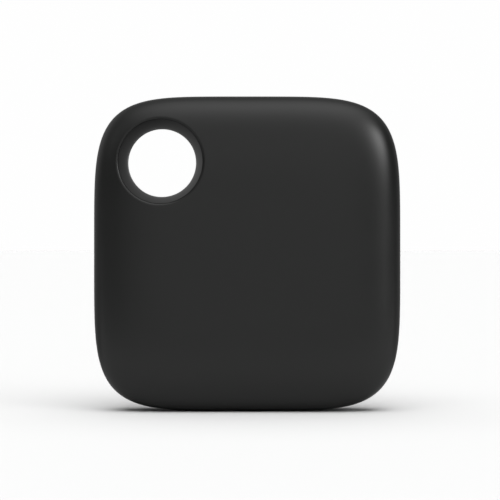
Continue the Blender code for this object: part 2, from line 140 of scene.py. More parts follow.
def finish(name, colour, roughness, metallic=0.0, specular=0.5, grain=0.14, relief=0.8,
           mottle=0.05, unevenness=0.08, wear=0.15, brushed=None):
    """A moulded, rolled or fired surface: grain size in mm and relief in thousandths of a mm.

    Colour and roughness drift over a few millimetres, edges are worn a little paler, and a
    brushed surface draws its grain out along one axis.
    """
    material = bpy.data.materials.new(name)
    material.use_nodes = True
    nodes = material.node_tree.nodes
    link = material.node_tree.links.new
    shader = nodes["Principled BSDF"]
    shader.inputs["Metallic"].default_value = metallic
    shader.inputs["Specular IOR Level"].default_value = specular

    place = nodes.new("ShaderNodeTexCoord")
    stretch = nodes.new("ShaderNodeMapping")
    if brushed:
        stretch.inputs["Scale"].default_value = [0.04 if axis == brushed else 1.0 for axis in "XYZ"]
    link(place.outputs["Object"], stretch.inputs["Vector"])
    fine = nodes.new("ShaderNodeTexNoise")
    fine.inputs["Scale"].default_value = 1.0 / (grain * MM)
    fine.inputs["Detail"].default_value = 2.0
    link(stretch.outputs[0], fine.inputs["Vector"])
    bump = nodes.new("ShaderNodeBump")
    bump.inputs["Distance"].default_value = relief * MM * 0.001
    link(fine.outputs["Fac"], bump.inputs["Height"])
    link(bump.outputs[0], shader.inputs["Normal"])

    drift = nodes.new("ShaderNodeTexNoise")
    drift.inputs["Scale"].default_value = 1.0 / DRIFT_SIZE
    drift.inputs["Detail"].default_value = 4.0
    link(place.outputs["Object"], drift.inputs["Vector"])
    rough = nodes.new("ShaderNodeMapRange")
    rough.inputs["From Min"].default_value = 0.3
    rough.inputs["From Max"].default_value = 0.7
    rough.inputs["To Min"].default_value = roughness * (1.0 - unevenness)
    rough.inputs["To Max"].default_value = roughness * (1.0 + unevenness)
    link(drift.outputs["Fac"], rough.inputs["Value"])
    link(rough.outputs[0], shader.inputs["Roughness"])

    tint = nodes.new("ShaderNodeMix")
    tint.data_type = "RGBA"
    tint.inputs["A"].default_value = (*[c * (1.0 - mottle) for c in colour], 1.0)
    tint.inputs["B"].default_value = (*[c * (1.0 + mottle) for c in colour], 1.0)
    link(drift.outputs["Fac"], tint.inputs["Factor"])
    shape = nodes.new("ShaderNodeNewGeometry")
    rubbed = nodes.new("ShaderNodeMapRange")
    rubbed.inputs["From Min"].default_value = WORN_FROM
    rubbed.inputs["From Max"].default_value = WORN_FULLY
    rubbed.inputs["To Max"].default_value = wear
    link(shape.outputs["Pointiness"], rubbed.inputs["Value"])
    worn = nodes.new("ShaderNodeMix")
    worn.data_type = "RGBA"
    worn.inputs["B"].default_value = (*[min(1.0, c * 1.8 + 0.01) for c in colour], 1.0)
    link(rubbed.outputs[0], worn.inputs["Factor"])
    link(tint.outputs["Result"], worn.inputs["A"])
    link(worn.outputs["Result"], shader.inputs["Base Color"])
    return material


MATERIALS = {
    "shell": finish("shell_plastic", (0.0098, 0.0102, 0.0098), 0.29, specular=0.40,
                    relief=0.5, mottle=0.03, unevenness=0.05, wear=0.04),
    "frame": finish("frame_plastic", (0.068, 0.070, 0.075), 0.42, grain=0.10, relief=1.5),
    "silicone": finish("grey_silicone", (0.33, 0.34, 0.35), 0.55, relief=0.4),
    "seal": finish("seal_rubber", (0.013, 0.013, 0.013), 0.50, grain=0.08, relief=1.5),
    "cell_steel": finish("nickel_plate", (0.60, 0.59, 0.56), 0.24, metallic=1.0, grain=0.05,
                         relief=0.6, brushed="X", wear=0.3, unevenness=0.2),
    "gasket": finish("gasket_nylon", (0.05, 0.05, 0.05), 0.45),
    "contact": finish("gold_plate", (0.80, 0.62, 0.28), 0.25, metallic=1.0, grain=0.04,
                      relief=0.5, brushed="Z", unevenness=0.2),
    "board": finish("solder_mask", (0.010, 0.060, 0.026), 0.30, grain=0.25, relief=1.2,
                    mottle=0.15),
    "chip": finish("moulded_epoxy", (0.016, 0.016, 0.018), 0.45, grain=0.06, relief=2.0),
    "crystal": finish("nickel_can", (0.66, 0.65, 0.62), 0.26, metallic=1.0, grain=0.05,
                      relief=0.5, brushed="Z"),
    "antenna": finish("fired_ceramic", (0.70, 0.69, 0.65), 0.40, relief=1.5),
    "ferrite": finish("sintered_ferrite", (0.05, 0.05, 0.055), 0.50, grain=0.08, relief=3.0,
                      mottle=0.15),
    "capacitor": finish("tan_ceramic", (0.32, 0.21, 0.13), 0.38, relief=1.0, mottle=0.1),
    "resistor": finish("glazed_ceramic", (0.02, 0.02, 0.024), 0.22, relief=0.6),
    "switch_plastic": finish("light_nylon", (0.52, 0.51, 0.47), 0.42, relief=1.0),
    "switch_metal": finish("spring_steel", (0.66, 0.65, 0.63), 0.28, metallic=1.0, grain=0.04,
                           relief=0.5, brushed="X"),
    "sounder_brass": finish("rolled_brass", (0.76, 0.53, 0.21), 0.26, metallic=1.0, grain=0.05,
                            relief=0.7, brushed="X", mottle=0.1, unevenness=0.2),
    "piezo": finish("silvered_ceramic", (0.74, 0.73, 0.69), 0.38, metallic=0.6, relief=1.0),
    "adhesive": finish("acrylic_foam", (0.55, 0.50, 0.36), 0.60, grain=0.10, relief=4.0),
}
SOLDER = finish("solder", (0.68, 0.67, 0.65), 0.30, metallic=1.0, relief=2.0, mottle=0.1)


def give_finishes():
    """Every CAD node that stays takes its slot's material."""
    for name, node in frame["nodes"].items():
        node.data.materials.clear()
        node.data.materials.append(MATERIALS[SLOT_OF[name]])


# ---- mesh tools ----

def place(name, mesh, node, replace=True, extra=()):
    """Put a finished mesh on the body and slot of its CAD node, in the node's place or beside it."""
    obj = bpy.data.objects.new(name, mesh)
    bpy.context.scene.collection.objects.link(obj)
    mesh.materials.clear()
    mesh.materials.append(MATERIALS[SLOT_OF[node]])
    for material in extra:
        mesh.materials.append(material)
    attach(obj, BODY_OF[node])
    if replace:
        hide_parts(node)
    return obj


def in_mm(points):
    """Points given in millimetres, in metres."""
    return [(a * MM, b * MM) for a, b in points]


def mesh_of(bm, name):
    """Finish a mesh: normals outwards, smooth, with real corners kept sharp."""
    bmesh.ops.recalc_face_normals(bm, faces=bm.faces)
    mesh = bpy.data.meshes.new(name)
    bm.to_mesh(mesh)
    bm.free()
    mesh.shade_smooth()
    mesh.set_sharp_from_angle(angle=SHARP)
    return mesh


def rounded(corners, radius, closed=True, steps=5):
    """Round a profile's corners; a point beside each arc keeps the flats shading flat."""
    made = []
    count = len(corners)
    for k, corner in enumerate(corners):
        here = np.array(corner, float)
        if not closed and k in (0, count - 1):
            made.append(here)
            continue
        back = np.array(corners[k - 1]) - here
        ahead = np.array(corners[(k + 1) % count]) - here
        back_length, ahead_length = np.linalg.norm(back), np.linalg.norm(ahead)
        back, ahead = back / back_length, ahead / ahead_length
        half = math.acos(max(-1.0, min(1.0, float(back @ ahead)))) / 2
        if half > math.radians(86.0):
            made.append(here)
            continue
        trim = min(radius / math.tan(half), 0.40 * back_length, 0.40 * ahead_length)
        small = trim * math.tan(half)
        middle = (back + ahead) / np.linalg.norm(back + ahead)
        centre = here + middle * small / math.sin(half)
        start, end = here + back * trim - centre, here + ahead * trim - centre
        sweep = math.pi - 2 * half
        made.append(here + back * min(1.3 * trim, 0.48 * back_length))
        for step in range(steps + 1):
            share = step / steps
            made.append(centre + (math.sin((1 - share) * sweep) * start
                                  + math.sin(share * sweep) * end) / math.sin(sweep))
        made.append(here + ahead * min(1.3 * trim, 0.48 * ahead_length))
    return made


def skin(name, loops):
    """A closed skin through closed loops of points, each (x, y, z) arrays, the last to the first."""
    count, turns = len(loops), len(loops[0][0])
    verts = np.empty((count, turns, 3))
    for row, loop in enumerate(loops):
        for axis in range(3):
            verts[row, :, axis] = loop[axis]
    verts[:, :, 2] += CENTRE_Z
    here = np.arange(count * turns).reshape(count, turns)
    below, after = np.roll(here, -1, 0), np.roll(here, -1, 1)
    quads = np.stack([here, after, np.roll(below, -1, 1), below], axis=-1).reshape(-1, 4)
    bm = bmesh.new()
    mesh = bpy.data.meshes.new(name)
    mesh.from_pydata(verts.reshape(-1, 3).tolist(), [], quads.tolist())
    bm.from_mesh(mesh)
    bpy.data.meshes.remove(mesh)
    return mesh_of(bm, name)


def turned(name, corners, x, z, rounding, turns=SMALL_TURNS):
    """Turn a profile of (radius, y) about the face axis at (x, z): a ring, or a disc from r = 0."""
    solid = corners[0][0] == 0.0
    profile = rounded(corners, rounding, closed=not solid)
    bm = bmesh.new()
    rows = []
    for radius, y in profile:
        if radius < 1e-9:
            rows.append([bm.verts.new((x, y, CENTRE_Z + z))])
            continue
        turn = np.linspace(0.0, 2 * math.pi, turns, endpoint=False)
        rows.append([bm.verts.new((x + radius * math.cos(a), y, CENTRE_Z + z + radius * math.sin(a)))
                     for a in turn])
    pairs = list(zip(rows, rows[1:]))
    if not solid:
        pairs.append((rows[-1], rows[0]))
    for first, second in pairs:
        for k in range(turns):
            after = (k + 1) % turns
            if len(first) == 1:
                bm.faces.new((first[0], second[k], second[after]))
            elif len(second) == 1:
                bm.faces.new((first[k], second[0], first[after]))
            else:
                bm.faces.new((first[k], second[k], second[after], first[after]))
    return mesh_of(bm, name)


def outline(angle, half_w, half_h):
    """The radius of the tag's outline at each angle."""
    across = np.abs(np.cos(angle) / half_w) ** OUTLINE_POWER
    upward = np.abs(np.sin(angle) / half_h) ** OUTLINE_POWER
    return (across + upward) ** (-1.0 / OUTLINE_POWER)


def band(name, corners, rounding):
    """A ring with the tag's outline, from a profile of (half width, y)."""
    angle = np.linspace(0.0, 2 * math.pi, TURNS, endpoint=False)
    loops = []
    for half, y in rounded(corners, rounding):
        radius = outline(angle, half, half + RISE)
        loops.append((radius * np.cos(angle), np.full_like(angle, y), radius * np.sin(angle)))
    return skin(name, loops)


def prism(points, start, end, to_world, bevel, bm=None):
    """A flat shape drawn by points (a, b), pushed from start to end, with its end edges bevelled."""
    bm = bm or bmesh.new()
    first = [bm.verts.new(to_world(a, b, start)) for a, b in points]
    second = [bm.verts.new(to_world(a, b, end)) for a, b in points]
    caps = [bm.faces.new(first), bm.faces.new(second[::-1])]
    count = len(points)
    for k in range(count):
        after = (k + 1) % count
        bm.faces.new((first[k], second[k], second[after], first[after]))
    edges = [edge for cap in caps for edge in cap.edges]
    if bevel:
        bmesh.ops.bevel(bm, geom=edges, offset=bevel, segments=3, affect="EDGES", profile=0.5)
    return bm


def on_face(a, b, depth):
    """Maps a place on the face and a depth to the world."""
    return (a, depth, CENTRE_Z + b)


def combine(target, tool, operation):
    """Join or cut one mesh with another, and return the finished mesh."""
    first = bpy.data.objects.new("first", target)
    second = bpy.data.objects.new("second", tool)
    for obj in (first, second):
        bpy.context.scene.collection.objects.link(obj)
    modifier = first.modifiers.new("combine", "BOOLEAN")
    modifier.operation = operation
    modifier.solver = "MANIFOLD"
    modifier.object = second
    bpy.context.view_layer.update()
    made = bpy.data.meshes.new_from_object(first.evaluated_get(bpy.context.evaluated_depsgraph_get()))
    made.name = target.name + "_made"
    for obj in (first, second):
        bpy.data.objects.remove(obj)
    made.shade_smooth()
    made.set_sharp_from_angle(angle=SHARP)
    return made


# ---- the two halves of the housing ----

class Pillow:
    """A superellipse pillow: how high it stands over the seam plane at any place."""

    def __init__(self, half_w, half_h, half_t):
        self.half_w, self.half_h, self.half_t = half_w, half_h, half_t

    def share(self, x, z):
        """0 in the middle and 1 on the outline."""
        across = np.abs(x / self.half_w) ** OUTLINE_POWER
        upward = np.abs(z / self.half_h) ** OUTLINE_POWER
        return (across + upward) ** (1.0 / OUTLINE_POWER)

    def height(self, x, z):
        s = np.clip((self.share(x, z) - CROWN_FLAT) / (1.0 - CROWN_FLAT), 0.0, 1.0)
        return self.half_t * (1.0 - s ** CROWN_POWER) ** (1.0 / CROWN_POWER)

    def reach(self, angle, share):
        """Distance from the hole's axis, along each angle, at which the share is reached."""
        near = np.zeros_like(angle)
        far = np.full_like(angle, 100 * MM)
        for _ in range(BISECTIONS):
            middle = (near + far) / 2
            x = HOLE_X + middle * np.cos(angle)
            z = HOLE_Z + middle * np.sin(angle)
            beyond = self.share(x, z) > share
            # the share first falls on the way across the tag, so only its last rise counts
            beyond &= (x - HOLE_X) * x + (z - HOLE_Z) * z > 0
            far = np.where(beyond, middle, far)
            near = np.where(beyond, near, middle)
        return (near + far) / 2


def around_hole(angle, radius):
    """(x, z) at a radius round the ring hole, from the middle of the face."""
    return HOLE_X + radius * np.cos(angle), HOLE_Z + radius * np.sin(angle)


def surface_rings(pillow, angle, start, flat_rings, edge_rings):
    """Rings of a pillow's surface from a radius round the hole out to its outline.

    The flat rings are evenly spaced. The edge rings take over at the split, a share of the way
    to the outline, and are spaced by how the crown turns.
    """
    first = pillow.share(*around_hole(angle, start))
    split = np.maximum(0.80, first + 0.35 * (1.0 - first))
    middle = pillow.reach(angle, split)
    points = []
    for step in range(flat_rings):
        x, z = around_hole(angle, start + (middle - start) * step / flat_rings)
        points.append((x, pillow.height(x, z), z))
    low = np.arcsin(((split - CROWN_FLAT) / (1.0 - CROWN_FLAT)) ** (CROWN_POWER / 2))
    for step in range(edge_rings + 1):
        turn = low + (math.pi / 2 - low) * step / edge_rings
        share = CROWN_FLAT + (1.0 - CROWN_FLAT) * np.sin(turn) ** (2.0 / CROWN_POWER)
        x, z = around_hole(angle, pillow.reach(angle, share))
        height = pillow.half_t * np.maximum(np.cos(turn), 0.0) ** (2.0 / CROWN_POWER)
        if step == edge_rings:
            height = np.zeros_like(angle)
        points.append((x, height, z))
    return points


def housing_half(name, side, rim, inset, neck, step_depth):
    """One half of the housing as a closed skin: dish, face, rim, inside, tube and bore.

    Depth runs from the seam plane towards this half's own face, so one text serves both.
    """
    angle = np.linspace(0.0, 2 * math.pi, TURNS, endpoint=False)
    outer = Pillow(HALF_W, HALF_H, HALF_T)
    inner = Pillow(HALF_W - SIDE_WALL, HALF_H - SIDE_WALL, HALF_T - FACE_WALL)
    base = side * rim
    sill = base + THROAT_LAND
    loops = []

    def level_ring(radius, depth):
        """A ring of points round the hole, all at one depth."""
        x, z = around_hole(angle, radius)
        loops.append((x, np.full_like(angle, depth), z))

    # dish: steep at the throat, flaring out to a fillet that follows the crown of the face
    flare = DISH - DISH_FILLET * 0.3
    tilt = math.atan2(HALF_T - sill, DISH_POWER * (flare - THROAT))
    x, z = around_hole(angle, flare)
    crest = outer.height(x, z) - DISH_FILLET * (1.0 - math.cos(tilt))
    for step in range(DISH_STEPS + 1):
        share = step / DISH_STEPS
        x, z = around_hole(angle, THROAT + (flare - THROAT) * share ** DISH_POWER)
        loops.append((x, sill + (crest - sill) * share, z))
    for step in range(1, FILLET_STEPS + 1):
        turn = tilt * (1.0 - step / FILLET_STEPS)
        radius = flare + DISH_FILLET * (math.sin(tilt) - math.sin(turn))
        x, z = around_hole(angle, radius)
        loops.append((x, outer.height(x, z) - DISH_FILLET * (1.0 - math.cos(turn)), z))

    # face and crown, down to the rim
    loops += surface_rings(outer, angle, radius, FLAT_RINGS, EDGE_RINGS)[1:]
    loops[:] = [(x, np.maximum(depth, base), z) for x, depth, z in loops]
    edge_out = outer.reach(angle, np.ones_like(angle))
    edge_in = inner.reach(angle, np.ones_like(angle))
    for turn in (22.5, 45.0, 67.5, 90.0):
        swing = math.radians(turn)
        level_ring(edge_out - EDGE * (1 - math.cos(swing)), base + EDGE * (1 - math.sin(swing)))
    # the rims lap: the front one stands up inside its outer edge and the rear one steps back
    lap = base + side * RIM_LAP
    ledge = Pillow(HALF_W - inset, HALF_H - inset, HALF_T).reach(angle, np.ones_like(angle))
    level_ring(ledge, base)
    level_ring(ledge, lap)
    for turn in (0.0, 45.0, 90.0):
        swing = math.radians(turn)
        level_ring(edge_in + EDGE * (1 - math.sin(swing)), lap + EDGE * (1 - math.cos(swing)))

    # inside wall and ceiling, back to the tube round the hole
    inside = surface_rings(inner, angle, TUBE + EDGE, INSIDE_RINGS, INSIDE_RINGS)
    loops += [(x, np.maximum(depth, lap + EDGE * 1.5), z) for x, depth, z in reversed(inside)]
    tube = [(TUBE, step_depth + MM), (TUBE, step_depth), (neck, step_depth), (neck, base),
            (THROAT, base), (THROAT, sill)]
    if neck == TUBE:
        tube = [tube[0]] + tube[3:]
    for radius, depth in rounded(tube, EDGE, closed=False, steps=4)[:-1]:
        level_ring(radius, depth)
    return skin(name, [(x, side * depth, z) for x, depth, z in loops])


def wall_place(side):
    """Maps (out, y, along) at one side wall to the world."""
    def to_world(out, y, along):
        if side in ("left", "right"):
            return ((out if side == "right" else -out), y, CENTRE_Z + along)
        reach = out + RISE
        return (along, y, CENTRE_Z + (reach if side == "top" else -reach))
    return to_world


def hooks(name, profile, places, length, node):
    """Snap hooks of one profile (out, y) along the side walls."""
    bm = bmesh.new()
    points = rounded(in_mm(profile), 0.1 * MM, steps=3)
    for side, along in places:
        prism(points, (along - length / 2) * MM, (along + length / 2) * MM,
              wall_place(side), 0.05 * MM, bm)
    place(name, mesh_of(bm, name), node, replace=False)


def front_shell():
    mesh = housing_half("front_shell_skin", -1, FRONT_RIM, FRONT_LEDGE, TUBE, 0.0)
    place("front_shell_skin", mesh, "front_shell")
    boss = in_mm([(0.0, -4.4), (2.2, -4.4), (2.2, -3.65), (0.0, -3.65)])
    place("front_shell_boss", turned("front_shell_boss", boss, 0.0, 0.0, 0.15 * MM),
          "front_shell", replace=False)
    tongue = in_mm([(5.6, -0.3), (6.25, -0.3), (6.25, 0.9), (5.6, 0.9)])
    place("front_shell_tongue", turned("front_shell_tongue", tongue, HOLE_X, HOLE_Z, 0.1 * MM),
          "front_shell", replace=False)
    lip = [(17.4, -1.0), (18.6, -1.0), (18.6, -0.2), (17.9, -0.2), (17.9, 0.9), (17.4, 0.9)]
    lip = band("seam_lip", in_mm(lip), 0.1 * MM)
    clear = turned("lip_corner", [(0.0, -3 * MM), (NOTCH, -3 * MM), (NOTCH, 3 * MM), (0.0, 3 * MM)],
                   HOLE_X, HOLE_Z, 0.01 * MM)
    place("front_shell_lip", combine(lip, clear, "DIFFERENCE"), "front_shell", replace=False)
    profile = [(18.7, -2.2), (16.95, -2.2), (16.95, 0.88), (15.7, 0.88), (15.7, 1.0),
               (16.3, 1.2), (17.55, 1.2), (17.55, -1.2), (18.7, -1.2)]
    places = [("right", 7.5), ("right", -7.5), ("left", -9.0), ("bottom", -6.0), ("top", 8.0)]
    hooks("front_shell_hooks", profile, places, 3.0, "front_shell")


def rear_cover():
    mesh = housing_half("rear_cover_skin", 1, REAR_RIM, REAR_LEDGE, REAR_NECK, REAR_STEP)
    ball = bmesh.new()
    bmesh.ops.create_uvsphere(ball, u_segments=64, v_segments=32, radius=2.2 * MM)
    bmesh.ops.translate(ball, verts=ball.verts, vec=(18.05 * MM, 1.1 * MM, CENTRE_Z - 18.45 * MM))
    mesh = combine(mesh, mesh_of(ball, "pry_notch"), "DIFFERENCE")
    place("rear_cover_skin", mesh, "rear_cover")
    rib = in_mm([(12.85, 1.6), (13.5, 1.6), (13.5, 4.0), (12.85, 4.0)])
    place("rear_cover_rib", turned("rear_cover_rib", rib, CELL_X, CELL_Z, 0.12 * MM),
          "rear_cover", replace=False)
    profile = [(18.7, 1.45), (17.1, 1.45), (17.1, -0.3), (16.55, -0.3), (16.55, 2.2), (18.7, 2.2)]
    places = [("right", 0.0), ("left", -3.0), ("bottom", 0.0), ("top", 1.5)]
    hooks("rear_cover_hooks", profile, places, 3.3, "rear_cover")


# ---- battery, tray and contacts ----

def round_node(node, rounding, inner=0.0):
    """A CAD disc, or a washer with the inner radius given, with its edges rounded."""
    low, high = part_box(node)
    x, z = (low.x + high.x) / 2, (low.z + high.z) / 2 - CENTRE_Z
    radius = (high.x - low.x) / 2
    corners = [(inner, low.y), (radius, low.y), (radius, high.y), (inner, high.y)]
    place(node + "_fine", turned(node + "_fine", corners, x, z, rounding), node)


def coin_cell():
    low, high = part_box("cell_can")
    outer = (high.x - low.x) / 2
    wall = 0.28 * MM
    can = [(0.0, high.y - wall), (outer - wall, high.y - wall), (outer - wall, low.y),
           (outer, low.y), (outer, high.y), (outer - 0.9 * MM, high.y),
           (outer - 1.1 * MM, high.y - 0.06 * MM), (0.0, high.y - 0.06 * MM)]
    place("cell_can_fine", turned("cell_can_fine", can, CELL_X, CELL_Z, 0.3 * MM, TURNS), "cell_can")
    low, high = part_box("cell_cap")
    outer = (high.x - low.x) / 2
    cap = [(0.0, low.y + 0.08 * MM), (outer - 1.3 * MM, low.y + 0.08 * MM), (outer - 1.1 * MM, low.y),
           (outer, low.y), (outer, high.y), (0.0, high.y)]
    place("cell_cap_fine", turned("cell_cap_fine", cap, CELL_X, CELL_Z, 0.25 * MM, TURNS), "cell_cap")
    round_node("cell_gasket", 0.08 * MM, inner=9.0 * MM)


def cover_seal():
    low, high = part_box("cover_seal")
    section = (high.y - low.y) / 2
    middle = (high.x - low.x) / 2 - section
    profile = []
    for step in range(SECTION_STEPS):
        turn = 2 * math.pi * step / SECTION_STEPS
        profile.append((middle + section * math.cos(turn), (low.y + high.y) / 2
                        + section * math.sin(turn)))
    place("cover_seal_fine", turned("cover_seal_fine", profile, CELL_X, CELL_Z, 0.0, 320),
          "cover_seal")


def disc(radius, front, rear, x, z):
    """A plain disc, to cut with."""
    corners = [(0.0, front), (radius, front), (radius, rear), (0.0, rear)]
    return turned("disc", corners, x, z, 0.01 * MM, TURNS // 2)


def tag_plate(half, front, rear, rounding):
    """A plate with the tag's outline, cleared round the ring hole."""
    angle = np.linspace(0.0, 2 * math.pi, TURNS, endpoint=False)
    radius = outline(angle, half, half + RISE)
    points = list(zip(radius * np.cos(angle), radius * np.sin(angle)))
    mesh = mesh_of(prism(points, front, rear, on_face, rounding), "plate")
    return combine(mesh, disc(NOTCH, front - MM, rear + MM, HOLE_X, HOLE_Z), "DIFFERENCE")


POSTS = in_mm([(-12.6, -12.8), (13.6, 8.6), (-13.8, 2.4), (2.6, 14.6)])


def inner_frame():
    low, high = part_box("inner_frame")
    half = (high.x - low.x) / 2
    wall = 11.2 * MM
    mesh = tag_plate(half, -0.45 * MM, 0.55 * MM, 0.12 * MM)
    ring = [(0.0, -0.35 * MM), (wall, -0.35 * MM), (wall, high.y), (0.0, high.y)]
    mesh = combine(mesh, turned("well", ring, CELL_X, CELL_Z, 0.15 * MM, TURNS), "UNION")
    bore = [(0.0, -2 * MM), (10.4 * MM, -2 * MM), (10.4 * MM, high.y - 0.25 * MM),
            (10.9 * MM, high.y + 0.25 * MM), (10.9 * MM, 6 * MM), (0.0, 6 * MM)]
    mesh = combine(mesh, turned("bore", bore, CELL_X, CELL_Z, 0.05 * MM, TURNS), "DIFFERENCE")
    slot = [(CELL_X + 9.6 * MM, CELL_Z - 1.75 * MM), (CELL_X + 12.9 * MM, CELL_Z - 1.75 * MM),
            (CELL_X + 12.9 * MM, CELL_Z + 1.75 * MM), (CELL_X + 9.6 * MM, CELL_Z + 1.75 * MM)]
    cutter = prism(rounded(slot, 0.25 * MM), -3 * MM, 5 * MM, on_face, 0.0)
    mesh = combine(mesh, mesh_of(cutter, "slot"), "DIFFERENCE")
    for x, z in POSTS:
        post = [(0.0, low.y), (0.8 * MM, low.y), (1.1 * MM, low.y + 0.2 * MM),
                (1.1 * MM, low.y + 0.45 * MM), (0.6 * MM, low.y + 0.45 * MM), (0.6 * MM, 0.0),
                (0.0, 0.0)]
        mesh = combine(mesh, turned("post", post, x, z, 0.06 * MM, POST_TURNS), "UNION")
    place("inner_frame_fine", mesh, "inner_frame")


def main_board():
    low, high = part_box("main_board")
    mesh = tag_plate((high.x - low.x) / 2, low.y, high.y, 0.0)
    for x, z in POSTS:
        mesh = combine(mesh, disc(0.9 * MM, low.y - MM, high.y + MM, x, z), "DIFFERENCE")
    place("main_board_fine", mesh, "main_board")
    copper_and_vias(high.y)


def copper_and_vias(rear):
    """Gilt pads, tracks and vias on the back of the board, inside the battery well."""
    bm = bmesh.new()
    skim = 0.035 * MM

    def strip(x0, z0, x1, z1, width):
        run = Vector((x1 - x0, z1 - z0)).normalized() * MM
        across = Vector((-run.y, run.x)) * width / 2
        ends = [Vector((x0, z0)) * MM, Vector((x1, z1)) * MM]
        points = [ends[0] - across, ends[1] - across, ends[1] + across, ends[0] + across]
        prism([tuple(p) for p in points], rear, rear + skim, on_face, 0.0, bm)

    def pad(x, z, radius):
        turn = np.linspace(0.0, 2 * math.pi, PAD_POINTS, endpoint=False)
        points = [(x * MM + radius * MM * math.cos(a), z * MM + radius * MM * math.sin(a))
                  for a in turn]
        prism(points, rear, rear + skim, on_face, 0.0, bm)

    strip(-6.0, -2.4, -3.2, -2.4, 3.2)
    for count in range(6):
        pad(-1.5 + 1.5 * count, 3.6, 0.5)
        strip(-1.5 + 1.5 * count, 3.6, -1.5 + 1.5 * count, 5.0 + 0.3 * count, 0.2)
    for count in range(5):
        z = -6.4 - 0.55 * count
        strip(-3.0 + 0.5 * count, z, 6.5 - 0.4 * count, z, 0.2)
        pad(-3.0 + 0.5 * count, z, 0.22)
        pad(6.5 - 0.4 * count, z, 0.22)
    place("main_board_copper", mesh_of(bm, "main_board_copper"), "main_board", replace=False)
    bpy.data.objects["main_board_copper"].data.materials[0] = MATERIALS["contact"]


def sprung_strip(name, path, node):
    """A bent strip of spring sheet: its middle line in (x, y) millimetres, 2.6 mm wide."""
    half = 0.075 * MM
    line = rounded(in_mm(path), 0.35 * MM, closed=False, steps=8)
    front, rear = [], []
    for k, point in enumerate(line):
        run = line[min(k + 1, len(line) - 1)] - line[max(k - 1, 0)]
        across = np.array((-run[1], run[0])) / np.linalg.norm(run) * half
        front.append(point - across)
        rear.append(point + across)
    points = front + rear[::-1]
    bm = prism(points, CELL_Z - 1.3 * MM, CELL_Z + 1.3 * MM,
               lambda a, b, depth: (a, b, CENTRE_Z + depth), 0.03 * MM)
    place(name, mesh_of(bm, name), node)


def battery_contacts():
    foot_x, foot_y = -5.0, -0.525
    leaf = [(foot_x, foot_y), (foot_x + 1.2, foot_y), (foot_x + 6.4, -0.12), (foot_x + 7.2, -0.06),
            (foot_x + 8.0, -0.12), (foot_x + 8.6, -0.25)]
    sprung_strip("negative_contact_fine", leaf, "negative_contact")
    heel = 12.95
    clip = [(heel + 1.5, foot_y), (heel, foot_y), (heel - 0.12, 0.7), (heel - 0.32, 1.5),
            (heel - 0.32, 1.9), (heel - 0.05, 2.7)]
    sprung_strip("positive_contact_fine", clip, "positive_contact")


# ---- small parts on the front of the board ----

def box_part(node, corner, bevel, caps=0.0, upright=False):
    """A small moulded or ceramic block; caps gives it soldered metal ends of that length."""
    low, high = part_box(node)
    bm = bmesh.new()

    def block(x0, x1, z0, z1, grow):
        corners = [(x0, z0), (x1, z0), (x1, z1), (x0, z1)]
        before = len(bm.faces)
        prism(rounded(corners, corner, steps=4), low.y - grow, high.y, on_face, bevel, bm)
        bm.faces.ensure_lookup_table()
        return list(bm.faces)[before:]

    z0, z1 = low.z - CENTRE_Z, high.z - CENTRE_Z
    if not caps:
        block(low.x, high.x, z0, z1, 0.0)
    else:
        inset = 0.03 * MM
        if upright:
            block(low.x + inset, high.x - inset, z0 + caps / 2, z1 - caps / 2, -inset)
            ends = [(low.x, high.x, z0, z0 + caps), (low.x, high.x, z1 - caps, z1)]
        else:
            block(low.x + caps / 2, high.x - caps / 2, z0 + inset, z1 - inset, -inset)
            ends = [(low.x, low.x + caps, z0, z1), (high.x - caps, high.x, z0, z1)]
        for end in ends:
            for face in block(*end, 0.0):
                face.material_index = 1
    name = node + "_fine"
    place(name, mesh_of(bm, name), node, extra=(SOLDER,))


def board_parts():
    box_part("radio_chip", 0.08 * MM, 0.05 * MM)
    box_part("main_crystal", 0.25 * MM, 0.08 * MM)
    box_part("clock_crystal", 0.25 * MM, 0.08 * MM)
    box_part("chip_antenna", 0.10 * MM, 0.06 * MM, caps=0.8 * MM)
    box_part("boost_inductor", 0.7 * MM, 0.12 * MM)
    box_part("bulk_capacitor", 0.12 * MM, 0.08 * MM, caps=0.7 * MM)
    for node, upright in [("capacitor_1", True), ("capacitor_2", True), ("capacitor_3", False),
                          ("capacitor_4", True), ("resistor_1", True), ("resistor_2", True),
                          ("resistor_3", False)]:
        box_part(node, 0.04 * MM, 0.04 * MM, caps=0.24 * MM, upright=upright)


def sounder_and_pad():
    round_node("sounder_plate", 0.04 * MM)
    round_node("sounder_ceramic", 0.04 * MM)
    round_node("sounder_adhesive", 0.05 * MM, inner=5.9 * MM)
    round_node("sounder_holder", 0.10 * MM, inner=5.9 * MM)
    round_node("press_pad", 0.15 * MM)


# ---- studio ----

def make_camera():
    data = bpy.data.cameras.new("camera")
    data.sensor_width = 36.0
    data.lens = 120.9
    data.clip_start, data.clip_end = 0.01, 60.0
    camera = bpy.data.objects.new("camera", data)
    camera.location = (0.36 * MM, -0.215, 20.5 * MM)
    camera.rotation_euler = (math.radians(90.0), 0.0, 0.0)
    bpy.context.scene.collection.objects.link(camera)
    bpy.context.scene.camera = camera


